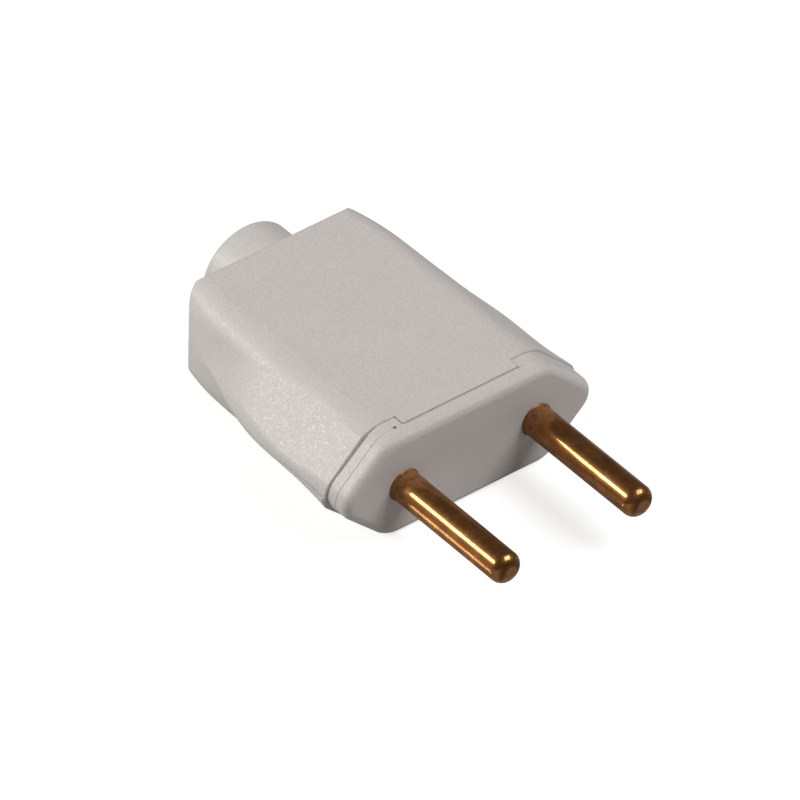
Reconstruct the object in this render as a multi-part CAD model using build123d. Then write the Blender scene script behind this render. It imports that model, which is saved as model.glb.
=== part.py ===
from build123d import *
import math
import os

os.makedirs("parts", exist_ok=True)

# Frame: origin between the pins on the socket face, pins along -Y, +X right, +Z up

# Pins
PIN_DIAMETER = 4.0
PIN_LENGTH = 19.0
PIN_SPACING = 19.0
PIN_TIP_ROUND = 1.3
NECK_DIAMETER = 4.6
NECK_START = -0.08
NECK_FLARE = 0.5
COLLAR_DIAMETER = 6.6
COLLAR_THICKNESS = 1.8
BARREL_DIAMETER = 5.0
BARREL_END = 17.0
WIRE_HOLE_DIAMETER = 2.8
WIRE_HOLE_DEPTH = 7.5
TERMINAL_SCREW_Y = 13.5

# Body
BODY_LENGTH = 36.4
HALF_HEIGHT = 7.05
LEVELLING = 0.005
WALL = 1.8
REAR_CORNER_ROUND = 3.6
REAR_CORNER_SPARE = 0.15
REAR_EDGE_ROUND = 0.45

# Nose
PLATE_THICKNESS = 2.07
PLATE_EDGE_ROUND = 1.1
SHELL_FRONT = 3.6
TONGUE_HALF_WIDTH = 8.25
NOSE_STEP = 0.15
NOSE_SIDE_ROUND = 2.8
NOSE_BEVEL = 0.06
SHELL_BEVEL = 0.1
LOWER_FLARE = 0.45

# Cross-sections: part of the way to the rear, half-widths of the flat and at the seam, corner rounds
STATIONS = (
    (0.00, 9.95, 19.15, 4.3, 1.8),
    (0.22, 10.00, 18.60, 4.3, 1.8),
    (0.44, 10.10, 18.45, 4.2, 2.0),
    (0.66, 10.10, 16.45, 4.0, 2.4),
    (0.84, 10.15, 14.10, 3.5, 2.8),
    (1.00, 9.30, 12.90, 3.2, 3.2),
)
# One more section past the rear wall, where the form is cut off
RUN_OUT = (1.04, 8.90, 12.65, 3.2, 3.3)

# Cord inlet
STUB_RADIUS = 6.35
STUB_LENGTH = 5.0
STUB_EDGE_ROUND = 0.7
CORD_RADIUS = 3.6

# Clearances
SLIP = 0.05
FIT = 0.12
SCREW_PASS = 0.2
SCREW_SPARE = 0.3
HEAD_ROOM = 0.3
ROOF_ROOM = 0.35
TERMINAL_ROOM = 0.8
CORD_SQUEEZE = 0.3

# Housing screw
SCREW_Y = 21.0
SCREW_RADIUS = 1.4
SCREW_HEAD_RADIUS = 2.8
SCREW_HEAD_HEIGHT = 1.7
HEAD_SINK = 2.4
BOSS_RADIUS = 3.6
SCREW_REACH = 3.6

# Terminal screws
TERMINAL_RADIUS = 1.25
TERMINAL_HEAD_RADIUS = 2.3
TERMINAL_HEAD_HEIGHT = 1.5
TERMINAL_TIP = 0.2

# Cord clamp
CLAMP_SETBACK = 6.4
CLAMP_WIDTH = 4.6
CLAMP_HALF_LENGTH = 9.6
CLAMP_SCREW_X = 7.3
CLAMP_END_THICKNESS = 1.8
CLAMP_SEAT = -0.9
CLAMP_SCREW_RADIUS = 1.15
CLAMP_HEAD_RADIUS = 2.0
CLAMP_HEAD_HEIGHT = 1.4
CLAMP_BOSS_RADIUS = 2.4
SADDLE_WIDTH = 3.0
SADDLE_DROP = 0.6

# Pin holder
BLOCK_END = 10.0
CRADLE_END = 16.2
BARRIER_END = 15.4
BARRIER_HALF = 0.8
PEG_RADIUS = 1.2
PEG_LENGTH = 3.0
GROOVE_Y = 6.0
GROOVE_WIDTH = 1.4
GROOVE_DEPTH = 1.1
RIB_HALF_LENGTH = 8.8

# Seam lip
LIP_HEIGHT = 1.0
LIP_START = 11.5

# What follows from the sizes above
PIN_X = PIN_SPACING / 2
PEG_X = (PIN_X - COLLAR_DIAMETER / 2) / 2
FLOOR = HALF_HEIGHT - WALL
CLAMP_Y = BODY_LENGTH - CLAMP_SETBACK
CLAMP_GRIP_RADIUS = CORD_RADIUS - CORD_SQUEEZE
CLAMP_ARCH_RADIUS = FLOOR - ROOF_ROOM
CLAMP_SCREW_TIP = -FLOOR + ROOF_ROOM
TERMINAL_HEAD_SEAT = FLOOR - TERMINAL_ROOM - TERMINAL_HEAD_HEIGHT


def slab(x0, x1, y0, y1, z0, z1):
    """A plain block between two corners."""
    block = Box(x1 - x0, y1 - y0, z1 - z0)
    return Pos((x0 + x1) / 2, (y0 + y1) / 2, (z0 + z1) / 2) * block


def rod(x, z, radius, y0, y1):
    """A round bar along Y."""
    bar = Cylinder(radius, y1 - y0)
    return Pos(x, (y0 + y1) / 2, z) * Rot(90, 0, 0) * bar


def post(x, y, radius, z0, z1):
    """A round bar along Z."""
    return Pos(x, y, (z0 + z1) / 2) * Cylinder(radius, z1 - z0)


def wall_normal(flat, side, top_round):
    """The way a side wall faces, which runs from the seam to touch the top round."""
    out = side - flat
    down = HALF_HEIGHT - top_round
    turn = math.atan2(down, out) + math.asin(top_round / math.hypot(out, down))
    return Vector(math.sin(turn), math.cos(turn))


def outline(y, flat, side, top_round, side_round, inset=0.0):
    """One six-sided cross-section with rounded corners, moved inwards by inset."""
    slope = wall_normal(flat, side, top_round)
    reach = side * slope.X - inset
    height = HALF_HEIGHT + LEVELLING - inset
    wide = reach / slope.X
    top = (reach - height * slope.Y) / slope.X
    corners = [(top, height), (wide, 0), (top, -height), (-top, -height), (-wide, 0), (-top, height)]
    face = Polygon(*corners, align=None)
    ends = face.vertices().filter_by(lambda v: abs(v.Y) > height / 2)
    face = fillet(ends, max(top_round - inset, 0.6))
    sides = face.vertices().filter_by(lambda v: abs(v.Y) < 0.001)
    face = fillet(sides, max(side_round - inset, 0.6))
    place = Plane(origin=(0, y, 0), x_dir=(1, 0, 0), z_dir=(0, -1, 0))
    return place * face


def plan(inset=0.0):
    """The body seen from above, which rounds its two rear corners and leaves the sides clear."""
    rear = BODY_LENGTH - inset
    wide = STATIONS[-1][2] + REAR_CORNER_SPARE - inset
    middle = STATIONS[-2][0] * BODY_LENGTH
    middle_wide = STATIONS[-2][2] + REAR_CORNER_SPARE - inset
    right = [(wide, rear), (middle_wide, middle), (30, middle - 3), (30, -1)]
    left = [(-x, y) for x, y in reversed(right)]
    shape = Polygon(*right, *left, align=None)
    shape = fillet(shape.vertices().filter_by(lambda v: v.Y > rear - 1), REAR_CORNER_ROUND - inset)
    return extrude(shape, HALF_HEIGHT + 1, both=True)


def side_profile():
    """The body seen from the side, which softens the top and bottom of its rear wall."""
    rise = 5.0
    soft = BODY_LENGTH - 1.6 * REAR_EDGE_ROUND - 1.6 * rise
    level = HALF_HEIGHT - REAR_EDGE_ROUND
    corners = [
        (-1, -HALF_HEIGHT - rise),
        (soft, -HALF_HEIGHT - rise),
        (BODY_LENGTH, -level),
        (BODY_LENGTH, level),
        (soft, HALF_HEIGHT + rise),
        (-1, HALF_HEIGHT + rise),
    ]
    shape = Polygon(*corners, align=None)
    shape = fillet(shape.vertices().filter_by(lambda v: abs(v.Y) < HALF_HEIGHT), REAR_EDGE_ROUND)
    return extrude(Plane.YZ * shape, 30, both=True)


def body_form(inset=0.0, flare=0.0):
    """The whole form from the face to the rear wall, level above and below, wider in front by flare."""
    sections = []
    for part, flat, side, *rounds in (*STATIONS, RUN_OUT):
        wide = side + flare * max(0.0, 1.0 - part / STATIONS[2][0])
        sections.append(outline(part * BODY_LENGTH, flat, wide, *rounds, inset=inset))
    level = HALF_HEIGHT - inset
    return loft(sections) & plan(inset) & slab(-30, 30, -1, BODY_LENGTH, -level, level)


HOLLOW = body_form(WALL)
HALF_WALL = body_form(WALL / 2)


def stub():
    """The round collar that the cord enters by."""
    collar = rod(0, 0, STUB_RADIUS, BODY_LENGTH - WALL, BODY_LENGTH + STUB_LENGTH)
    rim = collar.edges().group_by(Axis.Y)[-1]
    return fillet(rim, STUB_EDGE_ROUND)


def cord_passage():
    """The round way through the stub and the rear wall."""
    return rod(0, 0, CORD_RADIUS, BODY_LENGTH - 2 * WALL, BODY_LENGTH + STUB_LENGTH + 1)


def shell_walls(flare=0.0):
    """The walls of a shell before it is split at the seam: grip, stub and tongues."""
    outer = body_form(flare=flare) & side_profile()
    grip = outer & slab(-30, 30, SHELL_FRONT, BODY_LENGTH, -10, 10)
    grip = chamfer(grip.faces().sort_by(Axis.Y)[0].edges(), SHELL_BEVEL)
    tongue = slab(-TONGUE_HALF_WIDTH, TONGUE_HALF_WIDTH, PLATE_THICKNESS, SHELL_FRONT + 1, -10, 10)
    return grip + (outer & tongue) + stub() - HOLLOW - cord_passage()


def retaining_rib(side):
    """The rib inside one shell that locks into the groove of the pin holder."""
    y0 = GROOVE_Y + FIT
    y1 = GROOVE_Y + GROOVE_WIDTH - FIT
    low = FLOOR - GROOVE_DEPTH + FIT
    rib = slab(-RIB_HALF_LENGTH, RIB_HALF_LENGTH, y0, y1, low, FLOOR + 0.5)
    return rib if side > 0 else mirror(rib, Plane.XY)


def upper_shell():
    """The top half, with the boss that the housing screw bites into."""
    shell = shell_walls() & slab(-30, 30, -5, 60, 0, 10)
    boss = post(0, SCREW_Y, BOSS_RADIUS, 0, FLOOR + 0.5)
    shell = shell + boss + retaining_rib(1)
    shell = shell - post(0, SCREW_Y, SCREW_RADIUS + SLIP, -1, SCREW_REACH + SCREW_SPARE)
    recess = HALF_WALL & slab(-30, 30, LIP_START - FIT, BODY_LENGTH, -1, LIP_HEIGHT + FIT)
    return shell - (recess - rod(0, 0, STUB_RADIUS, BODY_LENGTH - 2 * WALL, BODY_LENGTH) - boss)


def lower_shell():
    """The bottom half, proud of the top one in front, with screw seat, saddle and clamp bosses."""
    shell = shell_walls(LOWER_FLARE) & slab(-30, 30, -5, 60, -10, 0)
    shell = shell + post(0, SCREW_Y, BOSS_RADIUS, -FLOOR - 0.5, 0) + retaining_rib(-1)
    near = CLAMP_Y - SADDLE_WIDTH / 2
    far = CLAMP_Y + SADDLE_WIDTH / 2
    saddle = slab(-CLAMP_SCREW_X, CLAMP_SCREW_X, near, far, -FLOOR - 0.5, CLAMP_SEAT - SADDLE_DROP)
    shell = shell + (saddle - rod(0, 0, CLAMP_GRIP_RADIUS, near - 1, far + 1))
    for x in (-CLAMP_SCREW_X, CLAMP_SCREW_X):
        shell = shell + post(x, CLAMP_Y, CLAMP_BOSS_RADIUS, -FLOOR - 0.5, CLAMP_SEAT)
    for x in (-CLAMP_SCREW_X, CLAMP_SCREW_X):
        shell = shell - post(x, CLAMP_Y, CLAMP_SCREW_RADIUS + SLIP, CLAMP_SCREW_TIP - SCREW_SPARE, 1)
    seat = -HALF_HEIGHT + HEAD_SINK
    shell = shell - post(0, SCREW_Y, SCREW_RADIUS + SCREW_PASS, -10, 1)
    shell = shell - post(0, SCREW_Y, SCREW_HEAD_RADIUS + HEAD_ROOM, -10, seat)
    lip = (HALF_WALL - HOLLOW) & slab(-30, 30, LIP_START, BODY_LENGTH - WALL - 1.5, -0.5, LIP_HEIGHT)
    lip = lip & body_form(WALL / 2 + FIT)
    return shell + lip


def nose_outline(y):
    """The outline shared by the front plate and the holder's flange, rounder at the sides."""
    return outline(y, *STATIONS[0][1:4], NOSE_SIDE_ROUND, inset=NOSE_STEP)


def pin_hole():
    """The way through the plate, which closes round the shank and widens for the neck."""
    shank = PIN_DIAMETER / 2 + SLIP
    neck = NECK_DIAMETER / 2 + SLIP
    steps = [
        (0, NECK_START - 1),
        (shank, NECK_START - 1),
        (shank, NECK_START - SLIP),
        (neck, NECK_START + NECK_FLARE - SLIP),
        (neck, PLATE_THICKNESS + 1),
        (0, PLATE_THICKNESS + 1),
    ]
    return revolve(Polygon(*steps, align=None), Axis.Y)


def front_plate():
    """The rounded plate that the pins pass through, pegged to the holder."""
    plate = extrude(nose_outline(PLATE_THICKNESS), PLATE_THICKNESS, dir=(0, -1, 0))
    plate = chamfer(plate.faces().sort_by(Axis.Y)[-1].edges(), NOSE_BEVEL)
    plate = fillet(plate.faces().sort_by(Axis.Y)[0].edges(), PLATE_EDGE_ROUND)
    for x in (-PEG_X, PEG_X):
        plate = plate + rod(x, 0, PEG_RADIUS, PLATE_THICKNESS - 0.5, PLATE_THICKNESS + PEG_LENGTH)
    for x in (-PIN_X, PIN_X):
        plate = plate - Pos(x, 0, 0) * pin_hole()
    return plate


def pin_holder():
    """The insulating block behind the plate: flange, block, cradles and barrier."""
    flange = extrude(nose_outline(SHELL_FRONT), SHELL_FRONT - PLATE_THICKNESS, dir=(0, -1, 0))
    for end in (0, -1):
        flange = chamfer(flange.faces().sort_by(Axis.Y)[end].edges(), NOSE_BEVEL)
    notch = slab(-TONGUE_HALF_WIDTH - FIT, TONGUE_HALF_WIDTH + FIT, 0, SHELL_FRONT, FLOOR - FIT, 10)
    flange = flange - notch - mirror(notch, Plane.XY)
    inside = body_form(WALL + FIT)
    block = inside & slab(-30, 30, SHELL_FRONT - 0.5, BLOCK_END, -10, 10)
    cradle = inside & slab(-13.2, 13.2, BLOCK_END - 0.5, CRADLE_END, -10, 0)
    barrier = slab(-BARRIER_HALF, BARRIER_HALF, BLOCK_END - 0.5, BARRIER_END, -1, FLOOR - 0.4)
    holder = flange + block + cradle + barrier
    groove = slab(-RIB_HALF_LENGTH - FIT, RIB_HALF_LENGTH + FIT, GROOVE_Y, GROOVE_Y + GROOVE_WIDTH,
                  FLOOR - GROOVE_DEPTH, 10)
    holder = holder - groove - mirror(groove, Plane.XY)
    for x in (-PIN_X, PIN_X):
        holder = holder - rod(x, 0, BARREL_DIAMETER / 2 + SLIP, 0, CRADLE_END + 1)
        seat = PLATE_THICKNESS + COLLAR_THICKNESS + SLIP
        holder = holder - rod(x, 0, COLLAR_DIAMETER / 2 + SLIP, 0, seat)
    for x in (-PEG_X, PEG_X):
        holder = holder - rod(x, 0, PEG_RADIUS + SLIP, 0, PLATE_THICKNESS + PEG_LENGTH + 0.1)
    return holder


def contact_pin(x):
    """A turned pin: round tip, flared neck, collar, terminal barrel with its wire and screw holes."""
    shank = PIN_DIAMETER / 2
    neck = NECK_DIAMETER / 2
    collar = COLLAR_DIAMETER / 2
    barrel = BARREL_DIAMETER / 2
    back = PLATE_THICKNESS + COLLAR_THICKNESS
    steps = [
        (0, -PIN_LENGTH),
        (shank, -PIN_LENGTH),
        (shank, NECK_START),
        (neck, NECK_START + NECK_FLARE),
        (neck, PLATE_THICKNESS),
        (collar, PLATE_THICKNESS),
        (collar, back),
        (barrel, back),
        (barrel, BARREL_END),
        (0, BARREL_END),
    ]
    half = Polygon(*steps, align=None)
    half = fillet(half.vertices().filter_by(lambda v: v.Y < 1 - PIN_LENGTH and v.X > 1), PIN_TIP_ROUND)
    half = chamfer(half.vertices().filter_by(lambda v: v.Y > BARREL_END - 1 and v.X > 1), 0.3)
    pin = Pos(x, 0, 0) * revolve(half, Axis.Y)
    pin = pin - rod(x, 0, WIRE_HOLE_DIAMETER / 2, BARREL_END - WIRE_HOLE_DEPTH, BARREL_END + 1)
    pin = pin - post(x, TERMINAL_SCREW_Y, TERMINAL_HEAD_RADIUS + HEAD_ROOM, TERMINAL_HEAD_SEAT, 10)
    return pin - post(x, TERMINAL_SCREW_Y, TERMINAL_RADIUS + SLIP, 0, 10)


def slotted_screw(x, y, seat, tip, radius, head_radius, head_height, slot):
    """A screw along Z with its head above the seat, or below it when the tip is higher."""
    up = 1 if seat > tip else -1
    length = abs(seat - tip)
    shank = chamfer(Cylinder(radius, length).edges().group_by(Axis.Z)[0], radius * 0.35)
    head = Cylinder(head_radius, head_height)
    head = fillet(head.edges().group_by(Axis.Z)[-1], head_height * 0.35)
    screw = Pos(0, 0, -length / 2) * shank + Pos(0, 0, head_height / 2) * head
    cut = Box(2 * head_radius + 1, slot, head_height)
    screw = screw - Pos(0, 0, head_height * 0.55 + head_height / 2) * cut
    if up < 0:
        screw = Rot(180, 0, 0) * screw
    return Pos(x, y, seat) * screw


def terminal_screw(x):
    """The screw that pinches a wire in the pin."""
    return slotted_screw(x, TERMINAL_SCREW_Y, TERMINAL_HEAD_SEAT, TERMINAL_TIP, TERMINAL_RADIUS,
                         TERMINAL_HEAD_RADIUS, TERMINAL_HEAD_HEIGHT, 0.6)


def housing_screw():
    """The screw that joins the shells from below."""
    return slotted_screw(0, SCREW_Y, -HALF_HEIGHT + HEAD_SINK, SCREW_REACH, SCREW_RADIUS,
                         SCREW_HEAD_RADIUS, SCREW_HEAD_HEIGHT, 0.8)


def cord_clamp():
    """The bridge that holds the cord down on its saddle."""
    top = CLAMP_SEAT + CLAMP_END_THICKNESS
    bridge = slab(-CLAMP_HALF_LENGTH, CLAMP_HALF_LENGTH, CLAMP_Y - CLAMP_WIDTH / 2,
                  CLAMP_Y + CLAMP_WIDTH / 2, CLAMP_SEAT, top)
    ends = bridge.edges().filter_by(Axis.Z)
    bridge = fillet(ends, 1.4)
    span = (CLAMP_Y - CLAMP_WIDTH / 2, CLAMP_Y + CLAMP_WIDTH / 2)
    arch = rod(0, 0, CLAMP_ARCH_RADIUS, *span)
    bridge = bridge + (arch & slab(-10, 10, 0, span[1] + 1, CLAMP_SEAT, 10))
    bridge = bridge - rod(0, 0, CLAMP_GRIP_RADIUS, span[0] - 1, span[1] + 1)
    for x in (-CLAMP_SCREW_X, CLAMP_SCREW_X):
        bridge = bridge - post(x, CLAMP_Y, CLAMP_SCREW_RADIUS + SCREW_PASS, CLAMP_SEAT - 1, top + 1)
    return bridge


def clamp_screw(x):
    """One of the two screws of the cord clamp."""
    seat = CLAMP_SEAT + CLAMP_END_THICKNESS
    return slotted_screw(x, CLAMP_Y, seat, CLAMP_SCREW_TIP, CLAMP_SCREW_RADIUS,
                         CLAMP_HEAD_RADIUS, CLAMP_HEAD_HEIGHT, 0.6)


export_step(upper_shell(), "parts/upper_shell.step")
export_step(lower_shell(), "parts/lower_shell.step")
export_step(front_plate(), "parts/front_plate.step")
export_step(pin_holder(), "parts/pin_holder.step")
export_step(cord_clamp(), "parts/cord_clamp.step")
export_step(housing_screw(), "parts/housing_screw.step")
for name, sign in (("left", -1), ("right", 1)):
    export_step(contact_pin(sign * PIN_X), f"parts/{name}_pin.step")
    export_step(terminal_screw(sign * PIN_X), f"parts/{name}_terminal_screw.step")
    export_step(clamp_screw(sign * CLAMP_SCREW_X), f"parts/{name}_clamp_screw.step")
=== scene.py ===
import logging
import math
from dataclasses import dataclass
from enum import Enum

import bpy
from mathutils import Matrix, Vector


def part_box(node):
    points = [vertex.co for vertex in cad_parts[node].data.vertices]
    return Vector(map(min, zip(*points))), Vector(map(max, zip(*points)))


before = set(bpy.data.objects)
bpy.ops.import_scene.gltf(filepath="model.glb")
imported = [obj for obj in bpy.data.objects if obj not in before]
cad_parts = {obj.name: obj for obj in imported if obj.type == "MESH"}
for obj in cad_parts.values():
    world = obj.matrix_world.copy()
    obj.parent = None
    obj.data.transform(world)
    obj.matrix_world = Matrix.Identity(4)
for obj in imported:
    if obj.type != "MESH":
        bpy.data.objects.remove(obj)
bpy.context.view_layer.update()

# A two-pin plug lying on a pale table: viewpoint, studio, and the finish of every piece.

log = logging.getLogger("two_pin_plug")

MM = 0.001
MM_PER_M = 1000.0
NOISE_MIDDLE = 0.5
Triple = tuple[float, float, float]
Colour = Triple
Span = tuple[float, float]


class Slot(Enum):
    """The names of the material slots, logged with each finish."""

    SHELL = "shell_plastic"
    PLATE = "plate_plastic"
    HOLDER = "holder_plastic"
    PIN = "pin_brass"
    SCREW = "screw_steel"
    CLAMP = "clamp_plastic"


def scaled(triple: Triple, share: float) -> Triple:
    """Return a colour or a point times a number."""
    return tuple(share * part for part in triple)


# Node trees


@dataclass(frozen=True)
class Value:
    """A number that changes over a surface, wrapped so that sums on it add Math nodes."""

    bench: "Bench"
    socket: bpy.types.NodeSocket

    def _math(self, operation: str, first: "Value | float", second: "Value | float") -> "Value":
        """Return what one Math node makes of two operands."""
        return self.bench.add("ShaderNodeMath", {"operation": operation}, {0: first, 1: second})

    def __add__(self, other: "Value | float") -> "Value":
        """Return self plus other."""
        return self._math("ADD", self, other)

    def __radd__(self, other: float) -> "Value":
        """Return other plus self."""
        return self._math("ADD", other, self)

    def __sub__(self, other: "Value | float") -> "Value":
        """Return self minus other."""
        return self._math("SUBTRACT", self, other)

    def __rsub__(self, other: float) -> "Value":
        """Return other minus self."""
        return self._math("SUBTRACT", other, self)

    def __mul__(self, other: "Value | float") -> "Value":
        """Return self times other."""
        return self._math("MULTIPLY", self, other)

    def over(self, low: float, high: float) -> "Value":
        """Fade from 0 at low to 1 at high.

        Args:
            low: Where the fade is still 0.
            high: Where the fade reaches 1; it may be under low, which turns the fade round.

        Returns:
            The fade, held between 0 and 1.
        """
        settings = {"interpolation_type": "SMOOTHSTEP", "clamp": True}
        ends = {"Value": self, "From Min": low, "From Max": high}
        return self.bench.add("ShaderNodeMapRange", settings, ends)


@dataclass
class Bench:
    """The node tree of one material, with the one method that puts nodes in it."""

    material: bpy.types.Material

    @classmethod
    def start(cls, name: str) -> "Bench":
        """Open an empty material.

        Args:
            name: The material's name.

        Returns:
            A bench with an empty tree.
        """
        material = bpy.data.materials.new(name)
        material.use_nodes = True
        material.node_tree.nodes.clear()
        return cls(material)

    def add(self, kind: str, settings: dict, inputs: dict, out: int | str = 0) -> Value:
        """Add one node.

        Args:
            kind: The node's type.
            settings: Its properties, set first.
            inputs: Values or links of its sockets, by name or number.
            out: The output that is wanted.

        Returns:
            That output, or an empty one for a node that has none.
        """
        node = self.material.node_tree.nodes.new(kind)
        for key, value in settings.items():
            setattr(node, key, value)
        for key, value in inputs.items():
            if isinstance(value, Value):
                self.material.node_tree.links.new(value.socket, node.inputs[key])
            elif isinstance(value, tuple) and node.inputs[key].type == "RGBA":
                node.inputs[key].default_value = (*value, 1.0)
            else:
                node.inputs[key].default_value = value
        return Value(self, node.outputs[out] if len(node.outputs) else None)

    def place(self) -> Value:
        """Return the point on the surface, in metres in the plug's own frame."""
        return self.add("ShaderNodeTexCoord", {}, {}, "Object")

    def along(self, axis: str) -> Value:
        """Return one coordinate of the point, in millimetres; axis is X, Y or Z."""
        return self.add("ShaderNodeSeparateXYZ", {}, {0: self.place()}, axis) * MM_PER_M

    def away(self, point_mm: Triple) -> Value:
        """Return the distance from a point, in millimetres."""
        ends = {0: self.place(), 1: scaled(point_mm, MM)}
        return self.add("ShaderNodeVectorMath", {"operation": "DISTANCE"}, ends, "Value") * MM_PER_M

    def noise(self, size_mm: float, detail: float) -> Value:
        """Add cloudy noise.

        Args:
            size_mm: How large its blots are.
            detail: How many finer layers it has.

        Returns:
            The noise, about 0.5 on average.
        """
        inputs = {"Vector": self.place(), "Scale": MM_PER_M / size_mm, "Detail": detail}
        return self.add("ShaderNodeTexNoise", {}, inputs)

    def streaks(self, detail: float, scale: Triple, turn: Triple = (0.0, 0.0, 0.0)) -> Value:
        """Add noise that is drawn out one way.

        Args:
            detail: How many finer layers it has.
            scale: Streaks per metre along X, Y and Z.
            turn: Turn about X, Y and Z, in radians.

        Returns:
            The noise, about 0.5 on average.
        """
        lengths = tuple(1.0 / count for count in scale)
        ends = {0: self.place(), "Rotation": turn, "Scale": lengths}
        drawn_out = self.add("ShaderNodeMapping", {"vector_type": "TEXTURE"}, ends)
        inputs = {"Vector": drawn_out, "Scale": 1.0, "Detail": detail}
        return self.add("ShaderNodeTexNoise", {}, inputs)

    def cells(self, size_mm: float, out: str) -> Value:
        """Add scattered cells.

        Args:
            size_mm: The cells' size.
            out: Distance from the middle of the cell, or its random Color.

        Returns:
            That output.
        """
        inputs = {"Vector": self.place(), "Scale": MM_PER_M / size_mm}
        return self.add("ShaderNodeTexVoronoi", {}, inputs, out)

    def lot(self, size_mm: float, channel: int) -> Value:
        """Return one of the random numbers of each scattered cell; channel is 0, 1 or 2."""
        inputs = {0: self.cells(size_mm, "Color")}
        return self.add("ShaderNodeSeparateColor", {}, inputs, channel)

    def blend(self, part: Value | float, first: Value | Colour, second: Value | Colour) -> Value:
        """Mix two colours.

        Args:
            part: How much of the second.
            first: The first colour.
            second: The second colour.

        Returns:
            The mixed colour.
        """
        inputs = {"Factor": part, 6: first, 7: second}
        return self.add("ShaderNodeMix", {"data_type": "RGBA"}, inputs, 2)

    def dim(self, colour: Colour, share: Value) -> Value:
        """Return a colour times a share that changes over the surface."""
        inputs = {0: colour, "Scale": share}
        return self.add("ShaderNodeVectorMath", {"operation": "SCALE"}, inputs)

    def relief(
        self, height: Value, depth_mm: float, strength: float, under: Value | None = None
    ) -> Value:
        """Turn a height into a bumped normal.

        Args:
            height: The height, from 0 to 1.
            depth_mm: How deep the full height is.
            strength: How much of it shows.
            under: A relief that this one lies on.

        Returns:
            The normal.
        """
        inputs = {"Height": height, "Distance": depth_mm * MM, "Strength": strength}
        if under is not None:
            inputs["Normal"] = under
        return self.add("ShaderNodeBump", {}, inputs)

    def surface(self, inputs: dict) -> Value:
        """Return the main shader with these values or links on its sockets."""
        return self.add("ShaderNodeBsdfPrincipled", {}, inputs)

    def close(self, shader: Value) -> bpy.types.Material:
        """Put a shader on the material's output and return the material."""
        self.add("ShaderNodeOutputMaterial", {}, {"Surface": shader})
        return self.material


# Finishes


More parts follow.
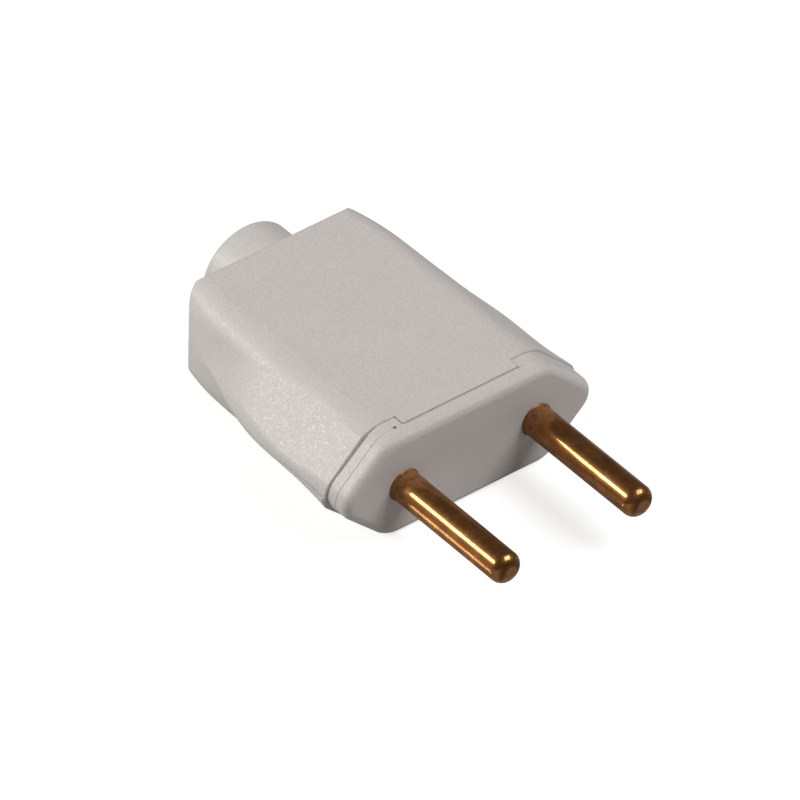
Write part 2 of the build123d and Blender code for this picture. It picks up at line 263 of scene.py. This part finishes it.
@dataclass(frozen=True)
class MouldedPlastic:
    """Pale moulded plastic with a fine spark-eroded grain, a few specks and light scuffs."""

    name: str
    colour: Colour = (0.512, 0.489, 0.470)
    ior: float = 1.49
    # Clouding and flecks of the colour
    cloud_mm: float = 9.0
    cloud_share: float = 0.05
    fleck_mm: float = 0.24
    fleck_share: float = 0.34
    # Grain, riding on the slow waviness of the moulding
    grain_mm: float = 0.17
    grain_depth_mm: float = 0.024
    fine_size: float = 0.45
    fine_share: float = 0.35
    wave_mm: float = 5.0
    wave_depth_mm: float = 0.04
    wave_strength: float = 0.30
    # Roughness, with glinting grains
    sheen: float = 0.52
    uneven_mm: float = 0.5
    uneven_sheen: float = 0.10
    facet_mm: float = 0.19
    facet_chance: Span = (0.75, 0.97)
    facet_sheen: float = 0.14
    # Dark specks, on a few of the cells
    specks: float = 1.0
    speck_apart_mm: float = 2.6
    speck_edge: Span = (0.060, 0.030)
    speck_chance: Span = (0.93, 0.95)
    speck_share: float = 0.75
    # The dark colour of the specks, also used for the painted gap shade
    speck_and_gap_shade_dark: float = 0.20
    # Scuffs
    scuffs: float = 1.0
    scuff_lines: Triple = (3500.0, 160.0, 500.0)
    scuff_turn: Triple = (0.2, 0.1, 0.6)
    scuff_edge: Span = (0.70, 0.76)
    scuff_patch_mm: float = 6.0
    scuff_patch_edge: Span = (0.55, 0.70)
    scuff_pale: float = 1.3
    scuff_share: float = 0.14
    scuff_sheen: float = 0.06
    # One painted shade spot, standing in for the shade inside a small gap
    painted_gap_shade_mm: Triple | None = None
    painted_gap_shade_fade_mm: Span = (0.30, 0.14)

    def tone(self, bench: Bench) -> Value:
        """Colour the plastic: slight clouding, pinprick specks, faint scuff lines and painted shade
        around a gap.

        Args:
            bench: The material's bench.

        Returns:
            The colour.
        """
        cloud = bench.noise(self.cloud_mm, 3.0) - NOISE_MIDDLE
        fleck = bench.noise(self.fleck_mm, 1.0) - NOISE_MIDDLE
        shade = 1.0 + cloud * self.cloud_share + fleck * self.fleck_share
        pale = bench.dim(self.colour, shade)
        near = bench.cells(self.speck_apart_mm, "Distance").over(*self.speck_edge)
        chosen = bench.lot(self.speck_apart_mm, 0).over(*self.speck_chance)
        speck_and_gap_shade = near * chosen * self.speck_share * self.specks
        # Painted shade: where a gap point is given, the colour darkens around it, standing in for
        # the shade inside the gap.
        if self.painted_gap_shade_mm is not None:
            speck_and_gap_shade = speck_and_gap_shade + bench.away(self.painted_gap_shade_mm).over(*self.painted_gap_shade_fade_mm)
        speckled_and_gap_shaded = bench.blend(speck_and_gap_shade, pale, scaled(self.colour, self.speck_and_gap_shade_dark))
        rubbed = scaled(self.colour, self.scuff_pale)
        return bench.blend(self.scuff(bench) * self.scuff_share, speckled_and_gap_shaded, rubbed)

    def scuff(self, bench: Bench) -> Value:
        """Return short hairline scuffs, gathered in patches.

        Args:
            bench: The material's bench.

        Returns:
            1 on a scuff and 0 off it.
        """
        lines = bench.streaks(1.0, self.scuff_lines, self.scuff_turn)
        patch = bench.noise(self.scuff_patch_mm, 1.0)
        return lines.over(*self.scuff_edge) * patch.over(*self.scuff_patch_edge) * self.scuffs

    def grain(self, bench: Bench) -> Value:
        """Return the height of the spark-eroded grain, finer blots riding on coarser ones.

        Args:
            bench: The material's bench.

        Returns:
            The height, from 0 to 1.
        """
        coarse = bench.noise(self.grain_mm, 2.0)
        fine = bench.noise(self.grain_mm * self.fine_size, 1.0)
        return coarse * (1.0 - self.fine_share) + fine * self.fine_share

    def roughness(self, bench: Bench) -> Value:
        """Return the roughness: even, but glinting on some grains and along the scuffs.

        Args:
            bench: The material's bench.

        Returns:
            The roughness.
        """
        facet = bench.lot(self.facet_mm, 1).over(*self.facet_chance) * self.facet_sheen
        uneven = (bench.noise(self.uneven_mm, 1.0) - NOISE_MIDDLE) * self.uneven_sheen
        return self.sheen + uneven - facet - self.scuff(bench) * self.scuff_sheen

    def make(self) -> bpy.types.Material:
        """Build the material.

        Returns:
            The material.
        """
        bench = Bench.start(self.name)
        wave = bench.noise(self.wave_mm, 1.0)
        slow = bench.relief(wave, self.wave_depth_mm, self.wave_strength)
        surface = bench.surface({
            "Base Color": self.tone(bench),
            "Roughness": self.roughness(bench),
            "IOR": self.ior,
            "Normal": bench.relief(self.grain(bench), self.grain_depth_mm, 1.0, slow),
        })
        return bench.close(surface)


@dataclass(frozen=True)
class TarnishedBrass:
    """Turned brass gone brown: dull and mottled at the root, rubbed bright along the shank."""

    name: str
    bright: Colour = (0.62, 0.30, 0.10)
    brown: Colour = (0.36, 0.155, 0.052)
    stain: Colour = (0.17, 0.072, 0.024)
    crust: Colour = (0.31, 0.137, 0.040)
    # Where the crusted root ends along the pin, and how ragged its edge is
    root_mm: float = -2.3
    root_fade_mm: Span = (-0.7, 0.5)
    ragged_mm: float = 1.1
    ragged_reach_mm: float = 1.6
    crust_spots: Span = (0.46, 0.62)
    crust_spot_share: float = 0.8
    crust_share: float = 0.95
    # The end, painted dark: partly a stain, partly a painted dark reflection of the end face
    tip_mm: float = -19.0
    tip_fade_mm: Span = (0.55, 0.05)
    tip_stain_and_reflection_dark: float = 0.30
    tip_stain_and_reflection_share: float = 0.80
    # The shank: bright rubs and drawn lines on brown, with stained spots
    rub_mm: float = 2.2
    rub_patch: Span = (0.40, 0.68)
    rub_share: float = 0.45
    lines: Triple = (7000.0, 260.0, 7000.0)
    line_edge: Span = (0.55, 0.75)
    line_share: float = 0.2
    mottle_mm: float = 0.55
    spots: Span = (0.56, 0.74)
    spot_share: float = 0.55
    score_depth_mm: float = 0.003
    score_strength: float = 0.30
    polish: float = 0.13
    # The dull film over it
    film_roughness: float = 0.44
    film_uneven: Span = (0.50, 0.75)
    film_uneven_share: float = 0.12
    film_stain: float = 0.35
    pit_depth_mm: float = 0.03
    pit_strength: float = 0.5
    crust_metal_loss: float = 0.5
    # How much of the metal the film covers
    dullness: float = 0.34
    cover_spots: Span = (0.50, 0.70)
    cover_spot_share: float = 0.22
    root_cover: float = 0.75
    tip_cover: float = 0.4

    def root(self, bench: Bench) -> Value:
        """Return 1 at the root by the face, where sockets never rub, fading raggedly to 0.

        Args:
            bench: The material's bench.

        Returns:
            The fade.
        """
        ragged = (bench.noise(self.ragged_mm, 3.0) - NOISE_MIDDLE) * self.ragged_reach_mm
        low, high = self.root_fade_mm
        return (bench.along("Y") + ragged).over(self.root_mm + low, self.root_mm + high)

    def tip(self, bench: Bench) -> Value:
        """Return 1 on the end of the pin, which is painted dark, fading to 0 along its rounding."""
        low, high = self.tip_fade_mm
        return bench.along("Y").over(self.tip_mm + low, self.tip_mm + high)

    def tone(self, root: Value, tip: Value, mottle: Value, drawn: Value) -> Value:
        """Colour the metal: a spotted shank, a crusted root and an end painted dark, partly as a
        stain and partly as a painted dark reflection.

        Args:
            root: 1 at the root, fading to 0.
            tip: 1 at the end, fading to 0.
            mottle: The blots that all the spots follow.
            drawn: The lines along the pin.

        Returns:
            The colour.
        """
        bench = root.bench
        rub = bench.noise(self.rub_mm, 2.0).over(*self.rub_patch) * self.rub_share
        worn = rub + drawn.over(*self.line_edge) * self.line_share
        shank = bench.blend(worn, self.brown, self.bright)
        spots = mottle.over(*self.spots) * self.spot_share
        spotted = bench.blend(spots, shank, self.stain)
        crust_spots = mottle.over(*self.crust_spots) * self.crust_spot_share
        crust = bench.blend(crust_spots, self.crust, self.stain)
        rooted = bench.blend(root * self.crust_share, spotted, crust)
        # The end is painted dark: partly a stain, partly a painted dark reflection of the end face.
        return bench.blend(tip * self.tip_stain_and_reflection_share, rooted, scaled(self.stain, self.tip_stain_and_reflection_dark))

    def make(self) -> bpy.types.Material:
        """Build the material: a rubbed metal, partly covered by a dull film.

        Returns:
            The material.
        """
        bench = Bench.start(self.name)
        root = self.root(bench)
        tip = self.tip(bench)
        mottle = bench.noise(self.mottle_mm, 3.0)
        drawn = bench.streaks(2.0, self.lines)
        colour = self.tone(root, tip, mottle, drawn)
        scored = bench.relief(drawn, self.score_depth_mm, self.score_strength)
        rubbed = bench.surface({
            "Base Color": colour,
            "Metallic": 1.0,
            "Roughness": self.polish,
            "Normal": scored,
        })
        stained = self.film_stain - root * self.film_stain - tip * self.film_stain
        uneven = mottle.over(*self.film_uneven) * self.film_uneven_share
        film = bench.surface({
            "Base Color": bench.blend(stained, colour, self.stain),
            "Metallic": 1.0 - root * self.crust_metal_loss,
            "Roughness": self.film_roughness + uneven,
            "Normal": bench.relief(mottle, self.pit_depth_mm, self.pit_strength, scored),
        })
        spread = self.dullness + mottle.over(*self.cover_spots) * self.cover_spot_share
        covered = spread + root * self.root_cover + tip * self.tip_cover
        both = bench.add("ShaderNodeMixShader", {}, {0: covered, 1: rubbed, 2: film})
        return bench.close(both)


@dataclass(frozen=True)
class PlatedSteel:
    """Zinc-plated screw steel, a little cloudy, with fine turning marks."""

    name: str
    colour: Colour = (0.56, 0.56, 0.54)
    dulled: Colour = (0.40, 0.39, 0.34)
    cloud_mm: float = 0.8
    cloud_edge: Span = (0.45, 0.7)
    cloud_share: float = 0.4
    sheen: float = 0.30
    cloud_sheen: float = 0.18
    marks: Triple = (1500.0, 1500.0, 9000.0)
    mark_depth_mm: float = 0.006
    mark_strength: float = 0.4

    def make(self) -> bpy.types.Material:
        """Build the material.

        Returns:
            The material.
        """
        bench = Bench.start(self.name)
        cloud = bench.noise(self.cloud_mm, 3.0)
        clouded = cloud.over(*self.cloud_edge) * self.cloud_share
        turned = bench.streaks(1.0, self.marks)
        surface = bench.surface({
            "Base Color": bench.blend(clouded, self.colour, self.dulled),
            "Metallic": 1.0,
            "Roughness": self.sheen + cloud * self.cloud_sheen,
            "Normal": bench.relief(turned, self.mark_depth_mm, self.mark_strength),
        })
        return bench.close(surface)


# Pieces


def cover(nodes: tuple[str, ...], material: bpy.types.Material, slot: Slot) -> None:
    """Give modelled nodes a finish through their material slots.

    Args:
        nodes: The nodes' names.
        material: The finish.
        slot: The name of its slot, which is logged.
    """
    for name in nodes:
        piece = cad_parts[name]
        if not piece.material_slots:
            piece.data.materials.append(material)
        for place in piece.material_slots:
            place.material = material
        log.info("%s: %s (%s)", name, material.name, slot.value)


@dataclass
class Housing:
    """The two shells, the front plate and the holder behind it."""

    shell: MouldedPlastic = MouldedPlastic("moulded shell plastic")
    # The plate's colour darkens around this point: painted shade inside a gap.
    plate: MouldedPlastic = MouldedPlastic("moulded plate plastic", painted_gap_shade_mm=(-9.4, 2.1, 6.95))

    def dress(self) -> None:
        """Give each piece its grained plastic."""
        cover(("upper_shell", "lower_shell"), self.shell.make(), Slot.SHELL)
        plate = self.plate.make()
        cover(("front_plate",), plate, Slot.PLATE)
        cover(("pin_holder",), plate, Slot.HOLDER)


@dataclass
class Contacts:
    """The two turned pins and the screws that pinch the wires in them."""

    brass: TarnishedBrass = TarnishedBrass("tarnished brass")
    steel: PlatedSteel = PlatedSteel("plated terminal steel")

    def dress(self) -> None:
        """Give the pins their brown brass and their screws plated steel."""
        cover(("left_pin", "right_pin"), self.brass.make(), Slot.PIN)
        cover(("left_terminal_screw", "right_terminal_screw"), self.steel.make(), Slot.SCREW)


@dataclass
class CordGrip:
    """The cord clamp inside the rear, with its screws and the screw that closes the housing."""

    plastic: MouldedPlastic = MouldedPlastic(
        "plain inner plastic", grain_depth_mm=0.008, specks=0.0, scuffs=0.0
    )
    steel: PlatedSteel = PlatedSteel("plated housing steel")

    def dress(self) -> None:
        """Give the clamp its plain plastic and the screws plated steel."""
        cover(("cord_clamp",), self.plastic.make(), Slot.CLAMP)
        names = ("left_clamp_screw", "right_clamp_screw", "housing_screw")
        cover(names, self.steel.make(), Slot.SCREW)


# Studio


@dataclass(frozen=True)
class Viewpoint:
    """Where the photograph was taken from, in the 800 by 800 frame."""

    azimuth: float = -39.486
    elevation: float = 39.595
    roll: float = 1.53
    distance: float = 1.5
    pixels_per_mm: float = 8.899
    origin_px: Span = (470.609, 451.995)
    frame_px: float = 800.0
    sensor_mm: float = 36.0
    clip: Span = (0.05, 20.0)

    def axes(self) -> tuple[Vector, Vector, Vector]:
        """Work out how the camera is turned.

        Returns:
            Its right, up and back directions.
        """
        angles = (self.azimuth, self.elevation, self.roll)
        around, above, tilt = (math.radians(angle) for angle in angles)
        back = Vector((
            math.sin(around) * math.cos(above),
            -math.cos(around) * math.cos(above),
            math.sin(above),
        ))
        flat = Vector((math.cos(around), math.sin(around), 0.0))
        rise = back.cross(flat)
        right = flat * math.cos(tilt) + rise * math.sin(tilt)
        up = rise * math.cos(tilt) - flat * math.sin(tilt)
        return right, up, back

    def place(self) -> None:
        """Put the camera there, the plug's origin at its pixel of the frame."""
        right, up, back = self.axes()
        focal_px = self.pixels_per_mm * self.distance / MM
        middle = self.frame_px / 2
        across = (self.origin_px[0] - middle) * self.distance / focal_px
        down = (self.origin_px[1] - middle) * self.distance / focal_px
        data = bpy.data.cameras.new("view")
        data.sensor_width = self.sensor_mm
        data.lens = focal_px / self.frame_px * self.sensor_mm
        data.clip_start, data.clip_end = self.clip
        camera = bpy.data.objects.new("view", data)
        bpy.context.scene.collection.objects.link(camera)
        turn = Matrix((right, up, back)).transposed().to_4x4()
        spot = back * self.distance - right * across + up * down
        camera.matrix_world = Matrix.Translation(spot) @ turn
        bpy.context.scene.camera = camera


@dataclass(frozen=True)
class SoftLamp:
    """A rectangular soft lamp that faces the plug; sizes and distance are in metres."""

    name: str
    towards: Triple
    distance: float
    width: float
    length: float
    level: float
    tint: Colour
    aim: Triple = (0.0, 0.008, 0.0)

    def hang(self) -> None:
        """Hang the lamp, its long side as near the pins' direction as it can be."""
        out = Vector(self.towards).normalized()
        long_side = (Vector((0.0, 1.0, 0.0)) - out * out.y).normalized()
        short_side = long_side.cross(out)
        data = bpy.data.lights.new(self.name, "AREA")
        data.shape = "RECTANGLE"
        data.size = self.width
        data.size_y = self.length
        # Power grows with the distance squared, so level alone sets how bright the plug looks.
        data.energy = self.level * math.pi**2 * self.distance**2
        data.color = self.tint
        lamp = bpy.data.objects.new(self.name, data)
        bpy.context.scene.collection.objects.link(lamp)
        turn = Matrix((short_side, long_side, out)).transposed().to_4x4()
        spot = Vector(self.aim) + out * self.distance
        lamp.matrix_world = Matrix.Translation(spot) @ turn


KEY_LAMP = SoftLamp(
    "key lamp",
    towards=(-0.676, 0.595, 0.436),
    distance=0.60,
    width=0.15,
    length=0.34,
    level=0.85,
    tint=(1.0, 0.985, 0.950),
)
FILL_LAMP = SoftLamp(
    "fill lamp",
    towards=(0.40, -0.42, 0.81),
    distance=1.00,
    width=0.60,
    length=0.60,
    level=0.80,
    tint=(1.0, 0.975, 0.965),
)


@dataclass
class Studio:
    """A pale table, a dim even surround and soft lamps."""

    surround: float = 0.13
    surround_tint: Colour = (1.0, 0.985, 0.975)
    floor_tone: Colour = (0.50, 0.495, 0.49)
    floor_lift: float = 0.72
    lift_tone: Colour = (1.0, 1.0, 1.0)
    floor_polish: float = 0.35
    polish_tone: Colour = (0.5, 0.5, 0.5)
    polish_roughness: float = 0.10
    mirrored_lift: float = 0.1
    clearance: float = 0.02 * MM
    half_size: float = 2.5
    lamps: tuple[SoftLamp, ...] = (KEY_LAMP, FILL_LAMP)

    def table_finish(self) -> bpy.types.Material:
        """Build the table's finish, which looks white to the camera and keeps the shadow.

        Returns:
            The material.
        """
        bench = Bench.start("pale table")
        seen = bench.add("ShaderNodeLightPath", {}, {}, "Is Camera Ray")
        mirrored = bench.add("ShaderNodeLightPath", {}, {}, "Is Glossy Ray")
        passed = bench.add("ShaderNodeLightPath", {}, {}, "Is Transmission Ray")
        plain = bench.add("ShaderNodeBsdfDiffuse", {}, {"Color": self.floor_tone})
        gloss = {"Color": self.polish_tone, "Roughness": self.polish_roughness}
        polish = bench.add("ShaderNodeBsdfGlossy", {}, gloss)
        layers = {0: mirrored * self.floor_polish, 1: plain, 2: polish}
        top = bench.add("ShaderNodeMixShader", {}, layers)
        lift = (seen + mirrored * self.mirrored_lift + passed) * self.floor_lift
        glow = bench.add("ShaderNodeEmission", {}, {"Color": self.lift_tone, "Strength": lift})
        return bench.close(bench.add("ShaderNodeAddShader", {}, {0: top, 1: glow}))

    def floor(self) -> None:
        """Lay the table top just under the plug."""
        low = min(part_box(name)[0].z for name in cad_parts) - self.clearance
        bpy.ops.object.select_all(action="DESELECT")
        size = 2.0 * self.half_size
        bpy.ops.mesh.primitive_plane_add(size=size, location=(0.0, 0.0, low))
        table = bpy.context.active_object
        table.name = "table_top"
        table.data.materials.append(self.table_finish())

    def surroundings(self) -> None:
        """Fill the room with a dim even light."""
        world = bpy.data.worlds.new("studio")
        world.use_nodes = True
        shade = world.node_tree.nodes["Background"]
        shade.inputs["Color"].default_value = (*self.surround_tint, 1.0)
        shade.inputs["Strength"].default_value = self.surround
        bpy.context.scene.world = world

    def set_up(self) -> None:
        """Build the floor, the surroundings and the lamps."""
        self.floor()
        self.surroundings()
        for lamp in self.lamps:
            lamp.hang()
        bpy.context.scene.view_settings.view_transform = "Standard"
        log.info("studio: %d lamps", len(self.lamps))


def main() -> None:
    """Dress every piece, then set up the studio and the viewpoint."""
    logging.basicConfig(level=logging.INFO, format="%(message)s")
    for assembly in (Housing(), Contacts(), CordGrip()):
        assembly.dress()
    Studio().set_up()
    Viewpoint().place()


if __name__ == "__main__":
    main()
